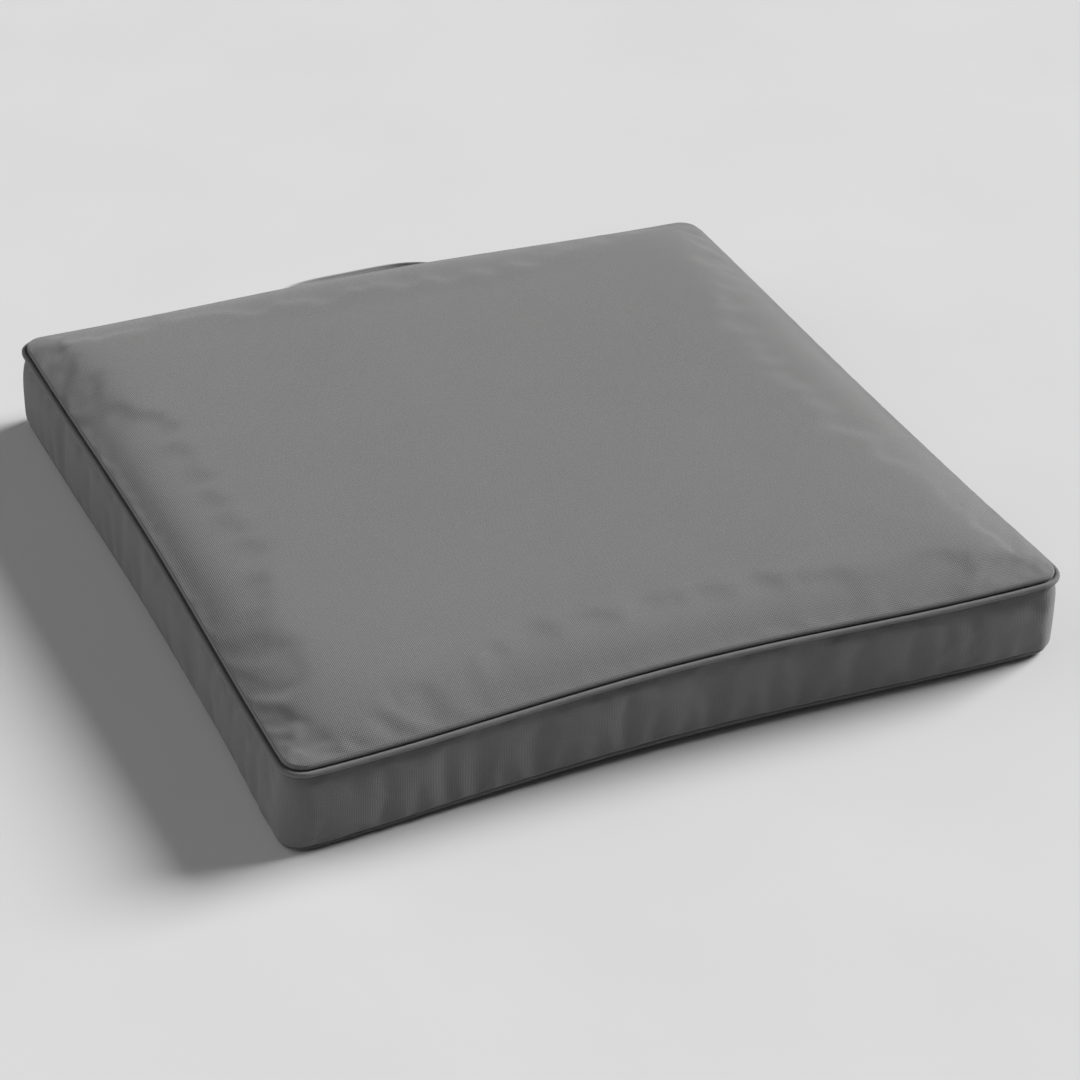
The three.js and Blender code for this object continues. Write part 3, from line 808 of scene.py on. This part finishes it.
def band_profile(way):
    """(distance out, height) from the seam to the folded edge and back behind it. way is 1 above the zip."""
    seam = SEAM_HIGH - BOX_EDGE if way > 0 else SEAM_LOW + BOX_EDGE
    edge = ZIP_Z + way * (ZIP_HALF_GAP + FOLD_RADIUS)
    share = np.linspace(0, 1, 14)
    out = -TUCK + (TUCK + BAND_FACE) * (1 - (1 - share) ** (4 if way > 0 else 14))
    face = coords(out, mix(seam, edge, share ** 1.4))
    turn = np.linspace(0, math.pi, 9)[1:]
    fold = coords(BAND_FACE - FOLD_RADIUS * (1 - np.cos(turn)), edge - way * FOLD_RADIUS * np.sin(turn))
    behind = [(BAND_FACE - 2 * FOLD_RADIUS, edge + way * FOLD_LENGTH * share) for share in (0.35, 0.7, 1.0)]
    profile = np.concatenate([face, fold, behind])
    return profile[::-1] if way > 0 else profile


def zip_band(name, way, node):
    arc = np.linspace(STRAIGHT - BAND_END, STRAIGHT + BAND_END, 420)
    profile = band_profile(way)
    rows = strip_rows(arc, profile)
    v = lengths(profile)
    stitch_z = ZIP_Z + way * (ZIP_HALF_GAP + STITCH_INSET)
    from_stitch = (profile[:, 1] - stitch_z) / (2.5 * MM)
    front = profile[:, 0] > BAND_FACE - 0.6 * MM
    pull = np.exp(-from_stitch ** 2) * front
    pinch = -0.12 * MM * (1 - np.cos(arc[:, None] / STITCH_PITCH * 2 * math.pi)) * pull
    broad = 0.35 * MM * waves(arc[:, None], v, 61 + way, 60 * MM) * front
    rows[..., 0] += pinch + broad
    obj = skin(name, settled(rows), cover, uv_grid(arc, v))
    cover_piece(obj, node)


def band_stitches(name, way):
    """A row of topstitches along a band's folded edge, through the tape behind it."""
    y = np.arange(-BAND_END + STITCH_PITCH, BAND_END - STITCH_PITCH, STITCH_PITCH)
    z = ZIP_Z + way * (ZIP_HALF_GAP + STITCH_INSET)
    starts, ends = (settled(coords(HALF + BAND_FACE, at, z)) for at in (y, y + STITCH_SHARE * STITCH_PITCH))
    blocks = [stitch_rows(a, b, (1, 0, 0), 0.26 * MM) for a, b in zip(starts, ends)]
    finished(bunch(name, blocks, thread), "cover_fabric")


top_panel()
bottom_panel()
boxing()
zip_band("zip_band_upper_cloth", 1, "zip_band_upper")
zip_band("zip_band_lower_cloth", -1, "zip_band_lower")
band_stitches("zip_stitches_upper", 1)
band_stitches("zip_stitches_lower", -1)


# ---- Welts ----
WELT_STEPS, CORD_STEPS = 760, 900
CORD_LAY = 6 * MM  # one turn of a filler cord's strands


def welt(name, centre, turn, nodes):
    """The fabric tube round the filler cord, with its tail hidden in the seam."""
    out, height = centre
    arc = np.linspace(0, 4 * QUARTER, WELT_STEPS, endpoint=False)
    angles = np.linspace(math.pi - 0.3, -math.pi + 0.3, 15)
    profile = [(out + WELT_RADIUS * math.cos(a), height + WELT_RADIUS * math.sin(a)) for a in angles]
    profile = [(WELT_TAIL, height + 0.3 * MM), *profile, (WELT_TAIL, height - 0.3 * MM)]
    rows = strip_rows(arc, profile)
    ring = np.arange(len(profile))
    swell = 0.08 * MM * waves(arc[:, None], ring * 1.2 * MM, turn, 9 * MM)
    swell += 0.07 * MM * waves(arc[:, None], 0, turn + 3, 60 * MM)
    away = rows - strip_rows(arc, [centre])
    away /= np.linalg.norm(away, axis=-1, keepdims=True)
    rows[:, 1:-1] += away[:, 1:-1] * swell[:, 1:-1, None]
    rows = settled(rows)
    v = np.cumsum([0, 6 * MM, *[0.65 * MM] * 14, 6 * MM])
    obj = skin(name, rows, welt_cloth, uv_grid(arc, v), around=True, across=True)
    finished(obj, "welt_fabric", *nodes)


def filler_cord(name, centre, node):
    """Three strands twisted together."""
    arc = np.linspace(0, 4 * QUARTER, CORD_STEPS, endpoint=False)
    turns = round(4 * QUARTER / CORD_LAY)
    ring = np.linspace(0, 2 * math.pi, 12, endpoint=False)
    twist = arc[:, None] / (4 * QUARTER) * turns * 2 * math.pi
    radius = CORD_RADIUS * (0.84 + 0.16 * np.abs(np.cos(1.5 * (ring - twist))))
    rows = strip_rows(arc, coords(centre[0] + radius * np.cos(ring), centre[1] + radius * np.sin(ring)))
    obj = skin(name, settled(rows), cotton, around=True, across=True)
    finished(obj, "welt_cord", node)


welt("top_welt", TOP_WELT, 41, ["top_welt_cover"])
welt("bottom_welt", BOTTOM_WELT, 51, ["bottom_welt_cover"])
filler_cord("top_filler_cord", TOP_WELT, "top_welt_cord")
filler_cord("bottom_filler_cord", BOTTOM_WELT, "bottom_welt_cord")


# ---- Filling ----
def filled(name, inset, rounding, top, bottom, lumps, look, slot, node):
    """A closed, soft-edged block between two heights. top and bottom take the insets from the seam."""
    x, y, own_x, own_y = panel_grid(HALF - inset, max(CORNER - inset, 5 * MM))
    edge = np.clip(np.minimum(own_x, own_y) / rounding, 0, 1)
    curl = rounding * (1 - np.sqrt(1 - (1 - edge) ** 2))
    uneven = lumps * waves(x, y, 71, 22 * MM)
    high = top(own_x + inset, own_y + inset) - curl + uneven
    low = bottom(own_x + inset, own_y + inset) + curl + uneven * 0.5
    upper = settled(coords(x, y, high))
    lower = settled(coords(x, y, low))
    wall = np.stack([mix(perimeter(upper), perimeter(lower), k) for k in np.linspace(0, 1, 7)], 1)
    sides = [skin("above", upper, look), skin("below", lower, look), skin("wall", wall, look, around=True)]
    obj = joined(name, sides)
    cleaned(obj.data, 0.01 * MM)
    finished(obj, slot, node)


def filling():
    foam_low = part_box("foam_core")[0].z

    def under(depth):
        return lambda a, b: top_height(a, b) - depth

    def level(height):
        return lambda a, b: height

    filled(
        "foam_block", 5 * MM, 5 * MM, under(7 * MM), level(foam_low), 0.15 * MM, foam, "foam", "foam_core"
    )
    filled(
        "fibre_layer_top", 12 * MM, 1.5 * MM, under(2.6 * MM), under(6.2 * MM), 0.3 * MM,
        fibre, "fibre", "fibre_wrap_top",
    )
    filled(
        "fibre_layer_bottom", 14 * MM, 1.0 * MM, level(foam_low - 0.3 * MM), level(1.3 * MM), 0.1 * MM,
        fibre, "fibre", "fibre_wrap_bottom",
    )


filling()


# ---- Zip ----
TAPE_OUT = -0.4 * MM
TAPE_SPAN = (0.9 * MM, 13 * MM)  # a tape's two edges, from the zip's middle
TAPE_THICK = 0.5 * MM
COIL_PITCH = 1.6 * MM
COIL_WIRE = 0.31 * MM
COIL_MEET = 0.35 * MM  # how far each coil's loops reach past the centre line


def zip_tape(name, way, node):
    arc = np.linspace(STRAIGHT - BAND_END, STRAIGHT + BAND_END, 200)
    z = np.linspace(*TAPE_SPAN, 8) * way + ZIP_Z
    if way < 0:
        z = z[::-1]
    rows = settled(strip_rows(arc, coords(TAPE_OUT, z)))
    obj = skin(name, rows, tape_cloth, uv_grid(arc, z))
    thickened(obj, TAPE_THICK)
    finished(obj, "zip_tape", node)


def zip_coil(name, way, node):
    """A continuous nylon coil: its loops pass between the other coil's loops."""
    end = COIL_HIGH.y
    points_each = 14
    loops = int(2 * end / COIL_PITCH) - 1
    turn = np.linspace(0, loops, loops * points_each + 1)
    ring = oval((COIL_HIGH.x - COIL_LOW.x) / 2 - COIL_WIRE, 1.0, points_each, 2.6)
    at = np.round(turn * points_each).astype(int) % points_each
    outer = COIL_HIGH.z - ZIP_Z - COIL_WIRE
    middle, half = (outer - COIL_MEET) / 2, (outer + COIL_MEET) / 2
    x = (COIL_LOW.x + COIL_HIGH.x) / 2 + ring[at, 0]
    shift = 0 if way > 0 else COIL_PITCH / 2
    y = -end + COIL_WIRE + shift + turn * COIL_PITCH
    z = ZIP_Z + way * (middle + half * ring[at, 1])
    rows = swept(coords(x, y, z), oval(COIL_WIRE, COIL_WIRE, 6), (0, 1, 0))
    finished(skin(name, rows, nylon, across=True, capped=True), "zip_coil", node)


def coil_thread(name, way):
    """The thread that sews a coil to its tape: it dips between the loops."""
    y = np.arange(-COIL_HIGH.y + COIL_PITCH, COIL_HIGH.y - COIL_PITCH, COIL_PITCH / 8)
    wave = (1 - np.cos(2 * math.pi * y / COIL_PITCH)) / 2
    path = coords(COIL_HIGH.x + 0.1 * MM - 0.3 * MM * wave, y, ZIP_Z + way * 2.1 * MM)
    rows = swept(path, oval(0.13 * MM, 0.13 * MM, 5), (0, 0, 1))
    finished(skin(name, rows, thread, across=True, capped=True), "zip_tape")


def plate(name, outlines, low, high, centre, bevel, look):
    """A flat piece with rounded edges between x = low and high. Its outlines are lists of (y, z) from centre;
    the first is its edge and the others are holes."""
    curve = bpy.data.curves.new(name, "CURVE")
    curve.dimensions = "2D"
    curve.fill_mode = "BOTH"
    curve.bevel_depth, curve.bevel_resolution, curve.offset = bevel, 2, -bevel
    curve.extrude = (high - low) / 2 - bevel
    for points in outlines:
        spline = curve.splines.new("POLY")
        spline.points.add(len(points) - 1)
        spline.use_cyclic_u = True
        for at, (y, z) in zip(spline.points, points):
            at.co = (y, z, 0, 1)
    holder = added(name + "_curve", curve)
    mesh = bpy.data.meshes.new_from_object(holder.evaluated_get(bpy.context.evaluated_depsgraph_get()))
    bpy.data.objects.remove(holder)
    place = Matrix.Translation(((low + high) / 2, *centre))
    mesh.transform(place @ Matrix(((0, 0, 1), (1, 0, 0), (0, 1, 0))).to_4x4())
    cleaned(mesh, 0.002 * MM)
    mesh.materials.clear()
    mesh.materials.append(look)
    return added(name, mesh)


def tapered(start, end, width_at, count=14):
    """An outline from y = start to end whose half width is width_at(share), as (y, z) points."""
    share = (1 - np.cos(np.linspace(0, math.pi, count))) / 2
    side = [(mix(start, end, t), width_at(t)) for t in share]
    return side + [(y, -z) for y, z in side[::-1]]


def rounded(share, power):
    """1 along most of a length and 0 at both ends, for rounded corners."""
    return max(1 - abs(2 * share - 1) ** power, 0.0) ** (1 / power) * 0.995 + 0.005


def zip_stop(name, node, bite):
    """A metal stop crimped over the coil, with a waist where the tool pressed it."""
    low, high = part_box(node)
    half = (high - low) / 2

    def half_width(t):
        return half.z * rounded(t, 7) * (1 - bite * math.exp(-((t - 0.5) / 0.16) ** 2))

    shape = tapered(-half.y, half.y, half_width, 20)
    stop = plate(name, [shape], low.x, high.x, (low + half).yz, 0.28 * MM, nickel)
    finished(stop, "zip_metal", node)


SHIELD_NARROW, SHIELD_BROAD = 3.2 * MM, 4.25 * MM  # half the slider's width at its two ends
SHIELD_THICK = 1.0 * MM
FLANGE = 0.72 * MM  # thickness of the slider's side walls
BRIDGE_HEIGHT, BRIDGE_HALF = 3.05 * MM, 3.3 * MM  # of the loop that holds the pull
EYE_FROM, EYE_TO, EYE_HALF = -5.6 * MM, -0.6 * MM, 1.45 * MM  # the pull's eye: its ends, and half its width
HOLE_RADIUS, HOLE_INSET = 1.15 * MM, 3.6 * MM  # the hole near the pull's free end


def slider():
    length = (SLIDER_HIGH.y - SLIDER_LOW.y) / 2
    centre = ((SLIDER_LOW.y + SLIDER_HIGH.y) / 2, ZIP_Z)
    front = COIL_HIGH.x + 0.4 * MM
    top = front + SHIELD_THICK
    back = SLIDER_LOW.x

    def shield(t):
        return mix(SHIELD_NARROW, SHIELD_BROAD, float(smooth((t - 0.2) / 0.5))) * rounded(t, 7)

    upper = tapered(-length, length, shield, 26)
    lower = tapered(-length, length, lambda t: 0.88 * shield(t), 26)
    wedge = tapered(1.6 * MM, 5.0 * MM, lambda t: 0.34 * MM * rounded(t, 1.6))
    parts = [
        plate("top", [upper], front, top, centre, 0.32 * MM, nickel),
        plate("under", [lower], back, back + SHIELD_THICK, centre, 0.3 * MM, nickel),
        plate("post", [wedge], back + 0.5 * MM, top - 0.4 * MM, centre, 0.08 * MM, nickel),
    ]
    share = np.linspace(0.07, 0.93, 16)
    for way in (1, -1):
        outer = [(mix(-length, length, t), way * (shield(t) - 0.02 * MM)) for t in share]
        inner = [(y, z - way * FLANGE) for y, z in outer[::-1]]
        parts.append(plate("flange", [outer + inner], HALF, front + 0.5 * MM, centre, 0.2 * MM, nickel))
    angle = np.linspace(0, math.pi, 21)
    arch = coords(
        top - 0.3 * MM + BRIDGE_HEIGHT * np.sin(angle) ** 0.6,
        centre[0] - 0.6 * MM - BRIDGE_HALF * np.sign(np.cos(angle)) * np.abs(np.cos(angle)) ** 0.6,
        ZIP_Z,
    )
    rows = swept(arch, oval(0.8 * MM, 0.42 * MM, 12, 3), (0, 0, 1))
    parts.append(skin("bridge", rows, nickel, across=True, capped=True))
    finished(joined("slider_body", parts), "zip_metal", "zip_slider", body="slider")


def pull():
    """A flat tab with an eye for the bridge and a hole near its end."""
    low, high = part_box("zip_pull")
    start, end = low.y - PULL_AXIS.y, high.y - PULL_AXIS.y
    broad = (high.z - low.z) / 2

    def half_width(t):
        waist = 1 - 0.22 * math.exp(-((t - 0.55) / 0.2) ** 2)
        return broad * waist * rounded(t, 3.2)

    eye = tapered(EYE_FROM, EYE_TO, lambda t: EYE_HALF * rounded(t, 5), 12)
    turn = np.linspace(0, 2 * math.pi, 24, endpoint=False)
    hole = coords(start + HOLE_INSET + HOLE_RADIUS * np.cos(turn), HOLE_RADIUS * np.sin(turn))
    shape = [tapered(start, end, half_width, 34), eye, hole]
    tab = plate("pull_tab", shape, low.x, high.x, PULL_AXIS.yz, 0.26 * MM, nickel)
    finished(tab, "zip_metal", "zip_pull", body="pull")


for part, direction in (("upper", 1), ("lower", -1)):
    zip_tape(f"tape_{part}", direction, f"zip_tape_{part}")
    zip_coil(f"coil_{part}", direction, f"zip_coil_{part}")
    coil_thread(f"coil_thread_{part}", direction)
    zip_stop(f"top_stop_{part}", f"zip_top_stop_{part}", 0.18)
zip_stop("bottom_stop", "zip_bottom_stop", 0.12)
slider()
pull()


# ---- Handle ----
TAB_FOLD = 14 * MM  # how far the webbing's cut end is folded under
HANDLE_SAG = 5.6 * MM  # the free arch hangs down from its sewn ends, and its upper edge leans out
HANDLE_LEAN = 0.5
BACKING_HALF = 20 * MM
BACKING_Z = (16 * MM, 37 * MM)
BACKING_OUT = 0.8 * MM  # past the stitch line, inside the boxing


def strap_path():
    """Centre line of half the webbing, from its folded-under cut end to the middle: (x, distance out)."""
    outer_x = TAB_HIGH.x
    turn_radius = WEBBING * 0.52
    low, high = WEBBING / 2, WEBBING / 2 + 2 * turn_radius
    under = coords(np.linspace(outer_x - TAB_FOLD, outer_x - turn_radius, 6), low)
    angle = np.linspace(0, math.pi, 9)[1:]
    turn = coords(outer_x - turn_radius * (1 - np.sin(angle)), low + turn_radius * (1 - np.cos(angle)))
    past_fold = outer_x - TAB_FOLD - 5 * MM
    x = np.linspace(outer_x - turn_radius, HANDLE_HALF, 26)[1:]
    over = coords(x, mix(low, high, smooth((x - past_fold) / (5 * MM))))
    share = np.append(np.sin(np.linspace(math.pi / 2, 0, 46))[1:-1], (0.0004, 0))
    arch = coords(share * HANDLE_HALF, low + HANDLE_BOW * (1 - share ** HANDLE_SQUARE) ** HANDLE_EASE)
    return np.concatenate([under, turn, over, arch])


def handle_half(name, way, nodes):
    flat = strap_path()
    hang = smooth((flat[:, 1] - 3 * MM) / HANDLE_BOW) * (flat[:, 0] < HANDLE_HALF)
    middle_z = (TAB_LOW.z + TAB_HIGH.z) / 2
    path = coords(way * flat[:, 0], HANDLE_FACE + flat[:, 1], middle_z - HANDLE_SAG * hang)
    path = path if way < 0 else path[::-1]
    lean = HANDLE_LEAN * (hang if way < 0 else hang[::-1])
    side = coords(0, lean, 1)
    section = oval((TAB_HIGH.z - TAB_LOW.z) / 2, WEBBING / 2, 44, 7)
    u = lengths(path)
    uv = uv_grid(u - (u[-1] if way < 0 else 0), lengths(section), 1 * MM)
    obj = skin(name, swept(path, section, side), webbing, uv, across=True, capped=True)
    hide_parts(*nodes)
    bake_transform(obj)


def box_stitches(name, way):
    """A sewn box with a cross in it, on one end of the handle."""
    inset = 3.5 * MM
    low, high = (TAB_LOW.x + inset, TAB_LOW.z + inset), (TAB_HIGH.x - inset, TAB_HIGH.z - inset)
    a, b, c, d = low, (high[0], low[1]), high, (low[0], high[1])
    blocks = []
    path = strap_path()
    face = path[int(np.argmax(path[:, 0])):]

    def on_tab(x, z):
        out = np.interp(x, face[::-1, 0], face[::-1, 1])
        return np.array([way * x, HANDLE_FACE + out + WEBBING / 2, z])

    for first, last in ((a, b), (b, c), (c, d), (d, a), (a, c), (b, d)):
        first, last = np.array(first), np.array(last)
        count = round(float(np.linalg.norm(last - first)) / BOX_PITCH)
        for i in range(count):
            one, two = mix(first, last, i / count), mix(first, last, (i + STITCH_SHARE) / count)
            blocks.append(stitch_rows(on_tab(*one), on_tab(*two), (0, 1, 0), 0.24 * MM))
    finished(bunch(name, blocks, thread), "webbing")


def backing(name, way, node):
    """A cloth patch inside the boxing that the handle's stitches hold on to."""
    centre = QUARTER + STRAIGHT - way * (TAB_LOW.x + TAB_HIGH.x) / 2
    arc = np.linspace(centre - BACKING_HALF, centre + BACKING_HALF, 34)
    z = np.linspace(*BACKING_Z, 18)
    rows = settled(strip_rows(arc, coords(BACKING_OUT, z)))
    frayed = np.abs(np.linspace(-1, 1, len(arc))) ** 12
    rows[..., 1] -= 0.25 * MM * np.abs(waves(arc[:, None], z, 81, 14 * MM))
    rows[..., 2] += 0.3 * MM * (1 - frayed[:, None]) * waves(arc[:, None], z, 82, 20 * MM)
    obj = skin(name, rows, cover, uv_grid(arc, z))
    thickened(obj, FABRIC, 1)
    finished(obj, "cover_fabric", node)


for part, direction in (("left", -1), ("right", 1)):
    covered = [f"handle_end_{part}"] + (["handle_strap"] if direction < 0 else [])
    handle_half(f"handle_{part}", direction, covered)
    box_stitches(f"handle_stitches_{part}", direction)
    backing(f"backing_{part}", direction, f"handle_backing_{part}")


# ---- Care label ----
LABEL_Y = (-140 * MM, -110 * MM)
LABEL_Z = (31 * MM, 44 * MM)
LABEL_OUT = -1.15 * MM  # its outer layer, inside the cover's cloth
LABEL_FOLD = 0.3 * MM


def care_label():
    """A blank ribbon folded double, its two ends in the seam allowance above the zip."""
    arc = STRAIGHT + np.linspace(*LABEL_Y, 24)
    low, high = LABEL_Z[0] + LABEL_FOLD, LABEL_Z[1]
    outer = [(LABEL_OUT, z) for z in np.linspace(high, low, 10)]
    turn = np.linspace(0, math.pi, 7)[1:]
    fold = coords(LABEL_OUT - LABEL_FOLD * (1 - np.cos(turn)), low - LABEL_FOLD * np.sin(turn)).tolist()
    inner = [(LABEL_OUT - 2 * LABEL_FOLD, z) for z in np.linspace(low, high, 10)[1:]]
    profile = np.array(outer + fold + inner)[::-1]
    rows = strip_rows(arc, profile)
    rows[..., 0] -= 0.3 * MM * waves(arc[:, None], profile[:, 1], 91, 30 * MM) ** 2
    obj = skin("blank_label", settled(rows), ribbon, uv_grid(arc, lengths(profile)))
    thickened(obj, 0.12 * MM)
    finished(obj, "label", "care_label")


care_label()


# ---- Stage, lights and camera ----
FLOOR_HALF = 30.0  # far enough for its edge to be near the horizon


def stage():
    n = Nodes("floor")
    speck = n.noise(n.place(), 6.0, 3.0, 0.5)
    material = n.finish(n.ramp(speck, [(0.3, grey(0.60)), (0.7, grey(0.62))]), 0.9)
    points = [(x * FLOOR_HALF, y * FLOOR_HALF, 0) for x, y in ((-1, -1), (1, -1), (1, 1), (-1, 1))]
    make("floor", points, [(0, 1, 2, 3)], material)


def sun(name, way, strength, spread):
    data = bpy.data.lights.new(name, "SUN")
    data.energy = strength
    data.angle = math.radians(spread)
    added(name, data).rotation_euler = Vector(way).to_track_quat("-Z", "Y").to_euler()


def sky():
    """A weak even fill, with a band as pale as the floor low down where the floor ends."""
    n = Nodes("studio", "worlds")
    background = n.tree.nodes["Background"]
    n.put((1, 1, 1, 1), background.inputs["Color"])
    height = n.parts(n.place("Generated"))[2]
    n.put(n.range(height, 0.03, 0.09, 0.70, 0.08), background.inputs["Strength"])
    bpy.context.scene.world = n.owner


CAMERA_AZIMUTH = -25.43
CAMERA_ELEVATION = 33.63
CAMERA_ROLL = 1.63
CAMERA_DISTANCE = 1.835
CAMERA_ASIDE = (13.6 * MM, -30.4 * MM)
CAMERA_AIM = (0, 0, 30 * MM)
CAMERA_LENS = 107.4


def camera():
    data = bpy.data.cameras.new("camera")
    data.sensor_width = 36
    data.lens = CAMERA_LENS
    data.clip_start, data.clip_end = 0.05, 50
    obj = added("camera", data)
    obj.matrix_world = (
        Matrix.Translation(CAMERA_AIM)
        @ Matrix.Rotation(math.radians(CAMERA_AZIMUTH), 4, "Z")
        @ Matrix.Rotation(math.radians(90 - CAMERA_ELEVATION), 4, "X")
        @ Matrix.Rotation(math.radians(CAMERA_ROLL), 4, "Z")
        @ Matrix.Translation((*CAMERA_ASIDE, CAMERA_DISTANCE))
    )
    bpy.context.scene.camera = obj


stage()
sky()
sun("key", (-1.0, -0.12, -0.60), 5.4, 28)  # broad and soft, from the zip's side
sun("fill", (1.0, -0.45, -0.70), 1.0, 80)
camera()
bpy.context.scene.view_settings.view_transform = "Standard"
